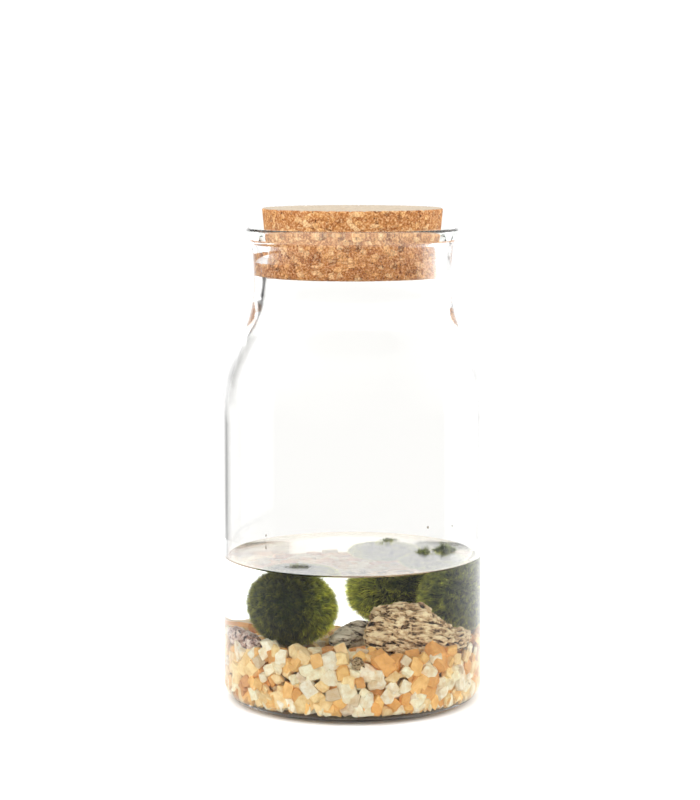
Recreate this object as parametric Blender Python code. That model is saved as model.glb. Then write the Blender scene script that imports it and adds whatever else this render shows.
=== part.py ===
"""Three marimo moss balls in a corked glass jar of water, on a bed of gravel with three rocks.

Metres, +Z up. The origin is the middle of the ring that the jar stands on.
Profiles are (radius, height) pairs that are turned about the Z axis.
"""

import math
from dataclasses import dataclass

import bmesh
import bpy
from mathutils import Vector, geometry, noise

# Jar, outside
JAR_HEIGHT = 0.218
BODY_RADIUS = 0.0600
BODY_TOP = 0.134
HEEL_RADIUS = 0.009
FOOT_INNER_RADIUS = 0.044
PUNT_RISE = 0.002
NECK_RADIUS = 0.0451
NECK_START = 0.194
SHOULDER_LOWER_HANDLE = 0.1650
SHOULDER_UPPER_HANDLE = 0.1645
FLARE_LOWER_HANDLE = 0.2070
FLARE_UPPER_HANDLE = (0.0462, 0.2120)
RIM_RADIUS = 0.0484
LIP_RADIUS = 0.0011
LIP_START = -35
LIP_END = 140

# Jar, inside
WALL = 0.0022
INNER_RADIUS = BODY_RADIUS - WALL
INNER_HEEL_RADIUS = 0.0075
FLOOR_EDGE = 0.0032
FLOOR_RISE = 0.0010
RIM_HOLLOW_UPPER_HANDLE = (0.0452, 0.2165)
RIM_HOLLOW_LOWER_HANDLE = (0.0440, 0.2135)
LEDGE_OUTER = (0.0429, 0.2108)
LEDGE_INNER = (0.0405, 0.2104)
BORE_RADIUS = 0.0396
BORE_TOP = 0.2045
BORE_BOTTOM = 0.1960
INNER_NECK_END = (0.0406, 0.1890)
INNER_NECK_HANDLE = (0.0418, 0.1720)
INNER_BODY_HANDLE = 0.1610
INNER_BODY_TOP = 0.130

# Cork
CORK_BOTTOM = 0.196
CORK_TOP = 0.227
CORK_BOTTOM_RADIUS = 0.0385
CORK_TOP_RADIUS = 0.04125
CORK_CHAMFER = 0.0007

# Water and gravel
WATER_LEVEL = 0.066
GRAVEL_LEVEL = 0.0315
GRAVEL_RISE_TO_FRONT = 0.0012
GRAVEL_FALL_TO_RIGHT = 0.0015
CHIP_LENGTH = 0.009
CHIP_RELIEF = 0.0062

# Space between neighbours
GAP = 0.0003
BALL_MARGIN = 0.0004
ROCK_MARGIN = 0.0007

# Lumps of the moss, as shares of the ball's size and in lumps across it
LUMP_DEPTH = 0.05
LUMP_SCALE = 2.3
FINE_LUMP_SHARE = 0.3
FINE_LUMP_SCALE = 5.5

# Break of the rocks, as shares of the rock's size
ROCK_BLOCKINESS = 0.80
BLOCK_TRIM = 0.97
ROCK_ROUGHNESS = 0.16
ROCK_ROUGHNESS_SCALE = 2.6
LAYER_DIP = 0.25
LEDGE_DEPTH = 0.12
CROWN_END = -0.15
TAIL_START = 0.45

# Fineness
SEGMENTS = 32
SHOULDER_STEPS = 7
INNER_SHOULDER_STEPS = 6
FLARE_STEPS = 4
HOLLOW_STEPS = 2
HEEL_STEPS = 5
INNER_HEEL_STEPS = 3
DOME_STEPS = 3
GRAVEL_RINGS = 7
BALL_CUTS = 6
MERGE_DISTANCE = 0.000001


@dataclass(frozen=True)
class Heap:
    """A round heap that raises the gravel over its width."""

    x: float
    y: float
    height: float
    radius: float


@dataclass(frozen=True)
class Ball:
    """A moss ball: its middle, level and upright half sizes, turn, and place in the lump pattern."""

    name: str
    centre: tuple[float, float, float]
    half_width: float
    half_height: float
    turn: float
    pattern: float


@dataclass(frozen=True)
class Rock:
    """A rock: its middle, half length and width, and how far crown, tail and root reach from the middle."""

    name: str
    centre: tuple[float, float, float]
    half_length: float
    half_width: float
    crown: float
    tail: float
    root: float
    turn: float
    layer: float
    cuts: int
    pattern: float
    colour: tuple[float, float, float]


HEAPS = (
    Heap(-0.004, -0.046, 0.0022, 0.022),
    Heap(-0.038, -0.030, 0.0012, 0.016),
    Heap(0.0386, 0.0072, 0.0016, 0.016),
)

BALLS = (
    Ball(
        name="moss_ball_left", centre=(-0.0245, -0.0247, 0.0486),
        half_width=0.0200, half_height=0.0185, turn=0.0, pattern=3.1,
    ),
    Ball(
        name="moss_ball_middle", centre=(0.0154, 0.0352, 0.0480),
        half_width=0.0184, half_height=0.0192, turn=0.7, pattern=8.4,
    ),
    Ball(
        name="moss_ball_right", centre=(0.0386, 0.0078, 0.0486),
        half_width=0.0178, half_height=0.0184, turn=1.9, pattern=14.2,
    ),
)

ROCKS = (
    Rock(
        name="rock_large", centre=(0.0275, -0.0225, 0.0320), half_length=0.0255, half_width=0.0150,
        crown=0.0212, tail=0.0062, root=0.0060, turn=math.radians(8),
        layer=0.0065, cuts=6, pattern=21.0, colour=(0.33, 0.23, 0.15),
    ),
    Rock(
        name="rock_middle", centre=(0.0005, -0.0100, 0.0325), half_length=0.0165, half_width=0.0062,
        crown=0.0085, tail=0.0052, root=0.0045, turn=math.radians(-120),
        layer=0.0045, cuts=4, pattern=5.5, colour=(0.27, 0.25, 0.23),
    ),
    Rock(
        name="rock_left", centre=(-0.0449, -0.0207, 0.0320), half_length=0.0150, half_width=0.0066,
        crown=0.0049, tail=0.0040, root=0.0045, turn=math.radians(-65),
        layer=0.0050, cuts=4, pattern=33.0, colour=(0.24, 0.19, 0.19),
    ),
)


def arc(centre, radius, start, end, steps):
    """Points on an arc of the profile, from one angle to the other in degrees, both ends included."""
    points = []
    for step in range(steps + 1):
        angle = math.radians(start + (end - start) * step / steps)
        points.append((centre[0] + radius * math.cos(angle), centre[1] + radius * math.sin(angle)))
    return points


def bend(start, start_handle, end_handle, end, steps):
    """Points on a Bezier curve of the profile, both ends included."""
    knots = [Vector((r, 0.0, z)) for r, z in (start, start_handle, end_handle, end)]
    return [(p.x, p.z) for p in geometry.interpolate_bezier(*knots, steps + 1)]


def dome(radius, edge, rise):
    """Points on a flat elliptical dome, from inside its edge to the axis."""
    points = []
    for step in range(1, DOME_STEPS + 1):
        angle = 0.5 * math.pi * step / DOME_STEPS
        points.append((radius * math.cos(angle), edge + rise * math.sin(angle)))
    return points


def jar_outside():
    """Outer profile, from the middle of the underside up over the lip."""
    heel_centre = (BODY_RADIUS - HEEL_RADIUS, HEEL_RADIUS)
    shoulder_start = (BODY_RADIUS, BODY_TOP)
    shoulder_end = (NECK_RADIUS, NECK_START)
    lower_handle = (BODY_RADIUS, SHOULDER_LOWER_HANDLE)
    upper_handle = (NECK_RADIUS, SHOULDER_UPPER_HANDLE)
    flare_handle = (NECK_RADIUS, FLARE_LOWER_HANDLE)
    lip_centre = (RIM_RADIUS - LIP_RADIUS, JAR_HEIGHT - LIP_RADIUS)
    lip = arc(lip_centre, LIP_RADIUS, LIP_START, LIP_END, FLARE_STEPS)
    profile = dome(FOOT_INNER_RADIUS, 0.0, PUNT_RISE)[::-1]
    profile += [(FOOT_INNER_RADIUS, 0.0)]
    profile += arc(heel_centre, HEEL_RADIUS, -90, 0, HEEL_STEPS)
    profile += bend(shoulder_start, lower_handle, upper_handle, shoulder_end, SHOULDER_STEPS)
    profile += bend(shoulder_end, flare_handle, FLARE_UPPER_HANDLE, lip[0], FLARE_STEPS)[1:]
    return profile + lip[1:]


def foot_inside(clearance=0.0):
    """Inner profile round the heel and in to the middle of the floor, or one that keeps clear of it."""
    heel_centre = (INNER_RADIUS - INNER_HEEL_RADIUS, FLOOR_EDGE + INNER_HEEL_RADIUS)
    heel = arc(heel_centre, INNER_HEEL_RADIUS - clearance, 0, -90, INNER_HEEL_STEPS)
    return heel + dome(heel_centre[0], FLOOR_EDGE + clearance, FLOOR_RISE)


def jar_profile():
    """The whole glass wall: up the outside, over the lip and down the inside."""
    outside = jar_outside()
    body_top = (INNER_RADIUS, INNER_BODY_TOP)
    body_handle = (INNER_RADIUS, INNER_BODY_HANDLE)
    inside = bend(outside[-1], RIM_HOLLOW_UPPER_HANDLE, RIM_HOLLOW_LOWER_HANDLE, LEDGE_OUTER, HOLLOW_STEPS)[1:]
    inside += [LEDGE_INNER, (BORE_RADIUS, BORE_TOP), (BORE_RADIUS, BORE_BOTTOM)]
    inside += bend(INNER_NECK_END, INNER_NECK_HANDLE, body_handle, body_top, INNER_SHOULDER_STEPS)
    return outside + inside + foot_inside()


def turned(profile):
    """Closed body turned about Z from a profile with both ends on the axis."""
    bm = bmesh.new()
    verts = [bm.verts.new((r, 0.0, z)) for r, z in profile]
    edges = [bm.edges.new(pair) for pair in zip(verts, verts[1:])]
    bmesh.ops.spin(
        bm, geom=verts + edges, cent=(0, 0, 0), axis=(0, 0, 1), angle=math.tau, steps=SEGMENTS, use_merge=True
    )
    bmesh.ops.remove_doubles(bm, verts=bm.verts, dist=MERGE_DISTANCE)
    bmesh.ops.recalc_face_normals(bm, faces=bm.faces)
    return bm


def round_cube(cuts, form, shape):
    """Body made from a cube with each side cut into squares, each corner moved to where the form ends."""
    bm = bmesh.new()
    bmesh.ops.create_cube(bm, size=2.0)
    bmesh.ops.subdivide_edges(bm, edges=bm.edges, cuts=cuts - 1, use_grid_fill=True)
    for vert in bm.verts:
        widened = Vector([math.tan(0.25 * math.pi * side) for side in vert.co])
        vert.co = form(widened.normalized(), shape)
    bmesh.ops.triangulate(bm, faces=bm.faces)
    return bm


def smooth_step(value, low, high):
    """0 below low, 1 above high and a smooth rise between."""
    t = min(max((value - low) / (high - low), 0.0), 1.0)
    return t * t * (3.0 - 2.0 * t)


def gravel_top(x, y):
    """Height of the gravel: a gentle slope, a few heaps, and the relief of the chips."""
    height = GRAVEL_LEVEL - GRAVEL_RISE_TO_FRONT * y / INNER_RADIUS - GRAVEL_FALL_TO_RIGHT * x / INNER_RADIUS
    for heap in HEAPS:
        distance = math.hypot(x - heap.x, y - heap.y)
        height += heap.height * (1.0 - smooth_step(distance, 0.0, heap.radius))
    return height + 0.5 * CHIP_RELIEF * noise.noise(Vector((x, y, 0.0)) / CHIP_LENGTH)


def gravel_rings():
    """Radii from the outer edge in to the axis, less than a chip's length apart."""
    return [(INNER_RADIUS - GAP) * (1.0 - step / GRAVEL_RINGS) for step in range(GRAVEL_RINGS + 1)]


def lay_on_gravel(bm, clearance):
    """Moves the level cut between gravel and water onto the gravel's top, as triangles alike on both."""
    cut = [vert for vert in bm.verts if abs(vert.co.z - GRAVEL_LEVEL) < MERGE_DISTANCE]
    for vert in cut:
        vert.co.z = gravel_top(vert.co.x, vert.co.y) + clearance
    faces = {face for vert in cut for face in vert.link_faces}
    bmesh.ops.triangulate(bm, faces=list(faces), quad_method="SHORT_EDGE")


def moss_form(direction, ball):
    """Where the moss ends in a direction from the ball's middle."""
    lump = noise.noise(direction * LUMP_SCALE + Vector((ball.pattern, 0.0, 0.0)))
    fine = noise.noise(direction * FINE_LUMP_SCALE + Vector((0.0, ball.pattern, 0.0)))
    reach = 1.0 - LUMP_DEPTH * (abs(lump) + FINE_LUMP_SHARE * (1.0 + fine))
    return direction * Vector((ball.half_width, ball.half_width, ball.half_height)) * reach


def rock_form(direction, rock):
    """Where the rock ends in a direction: a blocky crown that thins to a tail, broken along its layers."""
    blocky = Vector([math.copysign(abs(side) ** ROCK_BLOCKINESS, side) for side in direction])
    height = rock.root
    if direction.z > 0.0:
        height = rock.crown + (rock.tail - rock.crown) * smooth_step(direction.x, CROWN_END, TAIL_START)
    point = blocky * Vector((rock.half_length, rock.half_width, height)) * BLOCK_TRIM
    rough = noise.noise(direction * ROCK_ROUGHNESS_SCALE + Vector((rock.pattern, rock.pattern, 0.0)))
    depth_in_layer = (point.z + LAYER_DIP * point.x) / rock.layer + rough
    ledge = depth_in_layer - math.floor(depth_in_layer)
    return point * (1.0 + ROCK_ROUGHNESS * rough - LEDGE_DEPTH * ledge)


def make_material(name, colour, roughness, transmission=0.0, ior=1.45):
    """Principled surface in one colour."""
    material = bpy.data.materials.new(name)
    material.use_nodes = True
    surface = material.node_tree.nodes["Principled BSDF"]
    surface.inputs["Base Color"].default_value = (*colour, 1.0)
    surface.inputs["Roughness"].default_value = roughness
    surface.inputs["Metallic"].default_value = 0.0
    surface.inputs["Transmission Weight"].default_value = transmission
    surface.inputs["IOR"].default_value = ior
    return material


def add_object(name, mesh, parent):
    """Links a mesh into the scene as a named object under its parent."""
    obj = bpy.data.objects.new(name, mesh)
    bpy.context.scene.collection.objects.link(obj)
    obj.parent = parent
    return obj


def add_piece(name, bm, material, parent, sharp_angle):
    """Makes a named object from the modelled form, smooth except along edges sharper than the angle."""
    mesh = bpy.data.meshes.new(name)
    bm.to_mesh(mesh)
    bm.free()
    mesh.materials.append(material)
    mesh.shade_smooth()
    mesh.set_sharp_from_angle(angle=math.radians(sharp_angle))
    return add_object(name, mesh, parent)


def add_clearance(piece, margin, parent):
    """Adds the swollen copy of a piece that leaves room for it in the gravel and the water."""
    bm = bmesh.new()
    bm.from_mesh(piece.data)
    bm.normal_update()
    swollen = [vert.co + margin * vert.normal for vert in bm.verts]
    for vert, place in zip(bm.verts, swollen):
        vert.co = place
    mesh = bpy.data.meshes.new(piece.name + "_clearance")
    bm.to_mesh(mesh)
    bm.free()
    cutter = add_object(mesh.name, mesh, parent)
    cutter.location = piece.location
    cutter.rotation_euler = piece.rotation_euler
    cutter.hide_render = True
    cutter.display_type = "WIRE"
    return cutter


def leave_room(piece, cutters):
    """Takes each clearance out of the piece."""
    for cutter in cutters:
        room = piece.modifiers.new(cutter.name, "BOOLEAN")
        room.operation = "DIFFERENCE"
        room.solver = "EXACT"
        room.object = cutter


def build_jar(parent):
    """Clear bottle with a domed foot, a long shoulder, a short neck and a flared rim, ledged inside."""
    glass = make_material("glass", (0.93, 0.97, 0.95), 0.02, 1.0, 1.5)
    return add_piece("glass_jar", turned(jar_profile()), glass, parent, 40)


def build_cork(parent):
    """Tapered stopper with its edges taken off."""
    cork = make_material("cork", (0.62, 0.40, 0.22), 0.85)
    profile = [
        (0.0, CORK_BOTTOM),
        (CORK_BOTTOM_RADIUS - CORK_CHAMFER, CORK_BOTTOM),
        (CORK_BOTTOM_RADIUS, CORK_BOTTOM + CORK_CHAMFER),
        (CORK_TOP_RADIUS, CORK_TOP - CORK_CHAMFER),
        (CORK_TOP_RADIUS - CORK_CHAMFER, CORK_TOP),
        (0.0, CORK_TOP),
    ]
    return add_piece("cork_stopper", turned(profile), cork, parent, 25)


def build_balls(parent):
    """The three moss balls, each with its own lumps."""
    moss = make_material("moss", (0.055, 0.095, 0.018), 0.95)
    pieces = []
    for ball in BALLS:
        piece = add_piece(ball.name, round_cube(BALL_CUTS, moss_form, ball), moss, parent, 60)
        piece.location = ball.centre
        piece.rotation_euler.z = ball.turn
        pieces.append(piece)
    return pieces


def build_rocks(parent):
    """The three rocks, sunk in the gravel."""
    pieces = []
    for rock in ROCKS:
        stone = make_material(rock.name, rock.colour, 0.9)
        piece = add_piece(rock.name, round_cube(rock.cuts, rock_form, rock), stone, parent, 12)
        piece.location = rock.centre
        piece.rotation_euler.z = rock.turn
        pieces.append(piece)
    return pieces


def build_gravel(parent, cutters):
    """The gravel as one bed that fills the foot of the jar, hollowed where balls and rocks lie in it."""
    stone = make_material("gravel", (0.80, 0.62, 0.38), 0.8)
    top = [(radius, GRAVEL_LEVEL) for radius in reversed(gravel_rings())]
    bm = turned(top + foot_inside(GAP))
    lay_on_gravel(bm, 0.0)
    bed = add_piece("gravel_bed", bm, stone, parent, 8)
    leave_room(bed, cutters)
    return bed


def build_water(parent, cutters):
    """The water over the gravel, with room for the balls and rocks in it."""
    clear = make_material("water", (0.97, 0.99, 0.98), 0.0, 1.0, 1.333)
    surface = [(0.0, WATER_LEVEL), (INNER_RADIUS - GAP, WATER_LEVEL)]
    bottom = [(radius, GRAVEL_LEVEL) for radius in gravel_rings()]
    bm = turned(surface + bottom)
    lay_on_gravel(bm, 1.5 * GAP)
    water = add_piece("water", bm, clear, parent, 15)
    leave_room(water, cutters)
    return water


def main():
    """Clears the scene and builds every piece under one parent."""
    for old in list(bpy.data.objects):
        bpy.data.objects.remove(old, do_unlink=True)
    root = add_object("marimo_jar", None, None)
    build_jar(root)
    build_cork(root)
    balls = build_balls(root)
    rocks = build_rocks(root)
    cutters = [add_clearance(ball, BALL_MARGIN, root) for ball in balls]
    cutters += [add_clearance(rock, ROCK_MARGIN, root) for rock in rocks]
    build_gravel(root, cutters)
    build_water(root, cutters)


main()
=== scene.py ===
"""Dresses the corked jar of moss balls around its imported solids.

Metres, +Z up; the photographed side faces -Y. Every piece keeps its place in its mesh.
"""

import logging
import math
import random
from collections.abc import Callable, Sequence
from dataclasses import dataclass, field
from enum import Enum

import bmesh
import bpy
from mathutils import Matrix, Vector, geometry, noise
from mathutils.bvhtree import BVHTree


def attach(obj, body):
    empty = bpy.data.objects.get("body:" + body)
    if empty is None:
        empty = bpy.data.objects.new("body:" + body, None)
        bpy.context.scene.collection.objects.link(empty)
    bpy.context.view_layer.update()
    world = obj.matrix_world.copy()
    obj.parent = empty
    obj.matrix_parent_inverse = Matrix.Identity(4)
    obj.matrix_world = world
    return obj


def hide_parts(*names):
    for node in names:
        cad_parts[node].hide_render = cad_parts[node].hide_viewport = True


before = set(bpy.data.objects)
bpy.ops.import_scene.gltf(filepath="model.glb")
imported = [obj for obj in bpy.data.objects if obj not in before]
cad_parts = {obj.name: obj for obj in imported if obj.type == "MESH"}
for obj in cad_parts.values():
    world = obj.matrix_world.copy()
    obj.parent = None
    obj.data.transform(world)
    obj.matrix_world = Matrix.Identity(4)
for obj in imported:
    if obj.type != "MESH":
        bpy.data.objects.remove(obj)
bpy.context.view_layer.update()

Point = tuple[float, float]
Triple = tuple[float, float, float]
Colour = Triple
Spread = tuple[float, float, float, float]
Socket = bpy.types.NodeSocket

MM = 0.001
MERGE_DISTANCE = 0.000001
RIBBON_WIDTHS: Triple = (1.0, 0.8, 0.25)
MIDDLE_TONE = 0.45
NOISE_SEED = 5


def arc(centre: Point, radius: float, start: float, end: float, steps: int) -> list[Point]:
    """Points on an arc of a profile.

    Args:
        centre: Radius and height of the arc's middle.
        radius: Radius of the arc.
        start: First angle in degrees.
        end: Last angle in degrees.
        steps: Number of pieces between the two.

    Returns:
        The points, both ends included.
    """
    points = []
    for step in range(steps + 1):
        angle = math.radians(start + (end - start) * step / steps)
        points.append((centre[0] + radius * math.cos(angle), centre[1] + radius * math.sin(angle)))
    return points


def bend(start: Point, start_handle: Point, end_handle: Point, end: Point, steps: int) -> list[Point]:
    """Points on a Bezier curve of a profile.

    Args:
        start: First point.
        start_handle: Handle of the first point.
        end_handle: Handle of the last point.
        end: Last point.
        steps: Number of pieces between the two.

    Returns:
        The points, both ends included.
    """
    knots = [Vector((radius, 0.0, height)) for radius, height in (start, start_handle, end_handle, end)]
    return [(point.x, point.z) for point in geometry.interpolate_bezier(*knots, steps + 1)]


def dome(radius: float, edge: float, rise: float, steps: int) -> list[Point]:
    """Points on a flat elliptical dome.

    Args:
        radius: Radius of its edge.
        edge: Height of its edge.
        rise: Height of its middle above the edge.
        steps: Number of pieces.

    Returns:
        The points from just inside the edge to the axis.
    """
    points = []
    for step in range(1, steps + 1):
        angle = 0.5 * math.pi * step / steps
        points.append((radius * math.cos(angle), edge + rise * math.sin(angle)))
    points[-1] = (0.0, edge + rise)
    return points


def smooth_step(value: float, low: float, high: float) -> float:
    """A smooth rise between two values.

    Args:
        value: The value to read.
        low: Where the rise starts.
        high: Where the rise ends.

    Returns:
        0 below low, 1 above high and a smooth rise between.
    """
    share = min(max((value - low) / (high - low), 0.0), 1.0)
    return share * share * (3.0 - 2.0 * share)


def turned(profile: Sequence[Point], segments: int) -> bmesh.types.BMesh:
    """Turns a profile about Z.

    Args:
        profile: Points with both ends on the axis.
        segments: Number of steps round the axis.

    Returns:
        A closed body with its faces outwards.
    """
    bm = bmesh.new()
    verts = [bm.verts.new((radius, 0.0, height)) for radius, height in profile]
    edges = [bm.edges.new(pair) for pair in zip(verts, verts[1:])]
    bmesh.ops.spin(
        bm, geom=verts + edges, cent=(0, 0, 0), axis=(0, 0, 1), angle=math.tau, steps=segments, use_merge=True
    )
    bmesh.ops.remove_doubles(bm, verts=bm.verts, dist=MERGE_DISTANCE)
    bmesh.ops.recalc_face_normals(bm, faces=bm.faces)
    return bm


def merged_copy(node: str) -> bmesh.types.BMesh:
    """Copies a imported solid.

    Args:
        node: Name of the solid.

    Returns:
        Its mesh with the loose triangles joined.
    """
    bm = bmesh.new()
    bm.from_mesh(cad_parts[node].data)
    bmesh.ops.remove_doubles(bm, verts=bm.verts, dist=10 * MERGE_DISTANCE)
    return bm


def soften(bm: bmesh.types.BMesh) -> None:
    """Moves each point of a form half way to the middle of its neighbours."""
    bmesh.ops.smooth_vert(bm, verts=bm.verts, factor=0.5, use_axis_x=True, use_axis_y=True, use_axis_z=True)


def add_piece(name: str, bm: bmesh.types.BMesh, material: bpy.types.Material) -> bpy.types.Object:
    """Makes a piece from its modelled form and lets it ride with the jar.

    Args:
        name: Name of the piece.
        bm: Its form, which is freed.
        material: Its material.

    Returns:
        The finished object.
    """
    mesh = bpy.data.meshes.new(name)
    bm.to_mesh(mesh)
    bm.free()
    mesh.materials.append(material)
    mesh.shade_smooth()
    piece = bpy.data.objects.new(name, mesh)
    bpy.context.scene.collection.objects.link(piece)
    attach(piece, "root")
    return piece


class NodeBoard:
    """Shorthand for adding and joining the nodes of a material or a world."""

    def __init__(self, owner: bpy.types.Material | bpy.types.World) -> None:
        """Starts the nodes.

        Args:
            owner: The material or world that they belong to.
        """
        owner.use_nodes = True
        self.tree = owner.node_tree

    def node(self, kind: str, **settings: object) -> bpy.types.Node:
        """Adds a node.

        Args:
            kind: Type name of the node.
            **settings: Its properties.

        Returns:
            The node.
        """
        made = self.tree.nodes.new(kind)
        for name, value in settings.items():
            setattr(made, name, value)
        return made

    def join(self, source: object, target: Socket) -> None:
        """Links a socket to another, or sets it to a plain value.

        Args:
            source: A socket, number or colour.
            target: The socket that takes it.
        """
        if isinstance(source, Socket):
            self.tree.links.new(source, target)
        elif isinstance(source, tuple) and len(source) == 3 and target.type == "RGBA":
            target.default_value = (*source, 1.0)
        else:
            target.default_value = source

    def calculate(self, operation: str, first: object, second: object) -> Socket:
        """Works something out from two values.

        Args:
            operation: Name of the operation.
            first: The first value.
            second: The second value.

        Returns:
            The value socket.
        """
        made = self.node("ShaderNodeMath", operation=operation)
        self.join(first, made.inputs[0])
        self.join(second, made.inputs[1])
        return made.outputs["Value"]

    def plus(self, first: object, second: object) -> Socket:
        """The sum of two values."""
        return self.calculate("ADD", first, second)

    def minus(self, first: object, second: object) -> Socket:
        """The difference of two values."""
        return self.calculate("SUBTRACT", first, second)

    def times(self, first: object, second: object) -> Socket:
        """The product of two values."""
        return self.calculate("MULTIPLY", first, second)

    def rise(self, value: Socket, low: float, high: float, height: float = 1.0) -> Socket:
        """A smooth rise.

        Args:
            value: The value.
            low: Where the rise starts, at 0.
            high: Where it ends.
            height: What it reaches there.

        Returns:
            The value socket.
        """
        made = self.node("ShaderNodeMapRange", interpolation_type="SMOOTHSTEP")
        made.inputs["From Min"].default_value = low
        made.inputs["From Max"].default_value = high
        made.inputs["To Max"].default_value = height
        self.join(value, made.inputs["Value"])
        return made.outputs["Result"]


class Sheet(NodeBoard):
    """A new material, with shorthand for its patterns and its shader."""

    def __init__(self, name: str) -> None:
        """Starts the material.

        Args:
            name: Name of the material.
        """
        self.material = bpy.data.materials.new(name)
        super().__init__(self.material)
        self.shader = self.tree.nodes["Principled BSDF"]
        self.output = self.tree.nodes["Material Output"]

    def dress(self, **values: object) -> None:
        """Sets sockets of the Principled shader.

        Args:
            **values: Socket names with underscores for spaces, and their sources.
        """
        for name, value in values.items():
            self.join(value, self.shader.inputs[name.replace("_", " ")])

    def place(self, stretch: Triple = (1.0, 1.0, 1.0)) -> Socket:
        """Object coordinates, stretched.

        Args:
            stretch: Factors on the three axes.

        Returns:
            The vector socket.
        """
        where = self.node("ShaderNodeTexCoord")
        mapping = self.node("ShaderNodeMapping")
        mapping.inputs["Scale"].default_value = stretch
        self.join(where.outputs["Object"], mapping.inputs["Vector"])
        return mapping.outputs["Vector"]

    def clouds(self, size: float, detail: float, roughness: float) -> Socket:
        """Noise with features of a size.

        Args:
            size: Size of the features in metres.
            detail: Octaves.
            roughness: Share of each finer octave.

        Returns:
            The factor socket.
        """
        made = self.node("ShaderNodeTexNoise")
        made.inputs["Scale"].default_value = 1.0 / size
        made.inputs["Detail"].default_value = detail
        made.inputs["Roughness"].default_value = roughness
        self.join(self.place(), made.inputs["Vector"])
        return made.outputs["Fac"]

    def cells(self, size: float, where: Socket | None = None, feature: str = "F1") -> bpy.types.Node:
        """Voronoi cells of a size.

        Args:
            size: Size of a cell in metres.
            where: Coordinates, or the object's own.
            feature: What the node gives.

        Returns:
            The node.
        """
        made = self.node("ShaderNodeTexVoronoi", feature=feature)
        made.inputs["Scale"].default_value = 1.0 / size
        self.join(where or self.place(), made.inputs["Vector"])
        return made

    def ramp(self, value: Socket, stops: Sequence[tuple[float, Colour]]) -> Socket:
        """A colour ramp.

        Args:
            value: The factor.
            stops: Positions and colours in order.

        Returns:
            The colour socket.
        """
        made = self.node("ShaderNodeValToRGB")
        bar = made.color_ramp.elements
        for position, colour in stops[2:]:
            bar.new(position)
        for element, (position, colour) in zip(bar, stops):
            element.position = position
            element.color = (*colour, 1.0)
        self.join(value, made.inputs["Fac"])
        return made.outputs["Color"]

    def spread(self, value: Socket, low: float, high: float) -> Socket:
        """A value spread from 0 at low to 1 at high.

        Args:
            value: The value.
            low: What becomes 0.
            high: What becomes 1.

        Returns:
            The value socket.
        """
        made = self.node("ShaderNodeMapRange", clamp=True)
        made.inputs["From Min"].default_value = low
        made.inputs["From Max"].default_value = high
        self.join(value, made.inputs["Value"])
        return made.outputs["Result"]

    def mix(self, share: object, first: object, second: object, blend: str = "MIX") -> Socket:
        """A mix of two colours.

        Args:
            share: Share of the second.
            first: The first colour.
            second: The second colour.
            blend: How they are mixed.

        Returns:
            The colour socket.
        """
        made = self.node("ShaderNodeMix", data_type="RGBA", blend_type=blend)
        self.join(share, made.inputs[0])
        self.join(first, made.inputs[6])
        self.join(second, made.inputs[7])
        return made.outputs[2]

    def tint(self, name: str) -> bpy.types.Node:
        """The node that reads an attribute by its name."""
        return self.node("ShaderNodeAttribute", attribute_name=name)

    def relief(self, height: Socket, depth: float, strength: float) -> None:
        """Gives the shader a bump.

        Args:
            height: Height from 0 to 1.
            depth: Real depth in metres.
            strength: Strength of the bump.
        """
        made = self.node("ShaderNodeBump")
        made.inputs["Strength"].default_value = strength
        made.inputs["Distance"].default_value = depth
        self.join(height, made.inputs["Height"])
        self.join(made.outputs["Normal"], self.shader.inputs["Normal"])


@dataclass(frozen=True)
class ClearThing:
    """Something clear that bends light where it meets its neighbour."""

    name: str
    ior: float
    tint: Colour = (1.0, 1.0, 1.0)
    mirror: float = 1.0
    roughness: float = 0.0

    def make(self) -> bpy.types.Material:
        """Makes the material."""
        sheet = Sheet(self.name)
        sheet.dress(
            Base_Color=self.tint, Roughness=self.roughness, IOR=self.ior, Transmission_Weight=1.0,
            Specular_Tint=(self.mirror, self.mirror, self.mirror),
        )
        return sheet.material


GLASS_IOR = 1.5
WATER_IOR = 1.333
GLASS_TO_AIR = ClearThing("clear_glass", GLASS_IOR, tint=(0.963, 0.961, 0.950), mirror=0.22)
LIP_TO_AIR = ClearThing("lip_glass", 1.15, tint=(0.96, 0.97, 0.95), roughness=0.18)
FLARE_TO_AIR = ClearThing("flare_glass", 1.05, tint=(0.945, 0.965, 0.94))
# The underside's brown tint is painted shade, darkening the band along the jar's foot.
SHADED_FOOT_TO_AIR = ClearThing("foot_glass_painted_shade", GLASS_IOR, tint=(1.0, 0.80, 0.55), roughness=0.34)
GLASS_TO_WATER = ClearThing("wet_glass", GLASS_IOR / WATER_IOR)
# The water surface's dark brown-grey tint is painted shade: all seen through the surface is darkened, as if
# the floor behind the jar lay in shadow.
SHADED_WATER_TO_AIR = ClearThing("still_water", WATER_IOR, tint=(0.34, 0.30, 0.25))
# The rim's tan tint is a painted reflection of the gravel in the meniscus.
RIM_PAINTED_REFLECTION = ClearThing("water_rim_painted_reflection", WATER_IOR, tint=(0.46, 0.30, 0.13))
WATER_TO_GLASS = ClearThing("water_side", 1.0, tint=(0.97, 0.995, 0.985))


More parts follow.
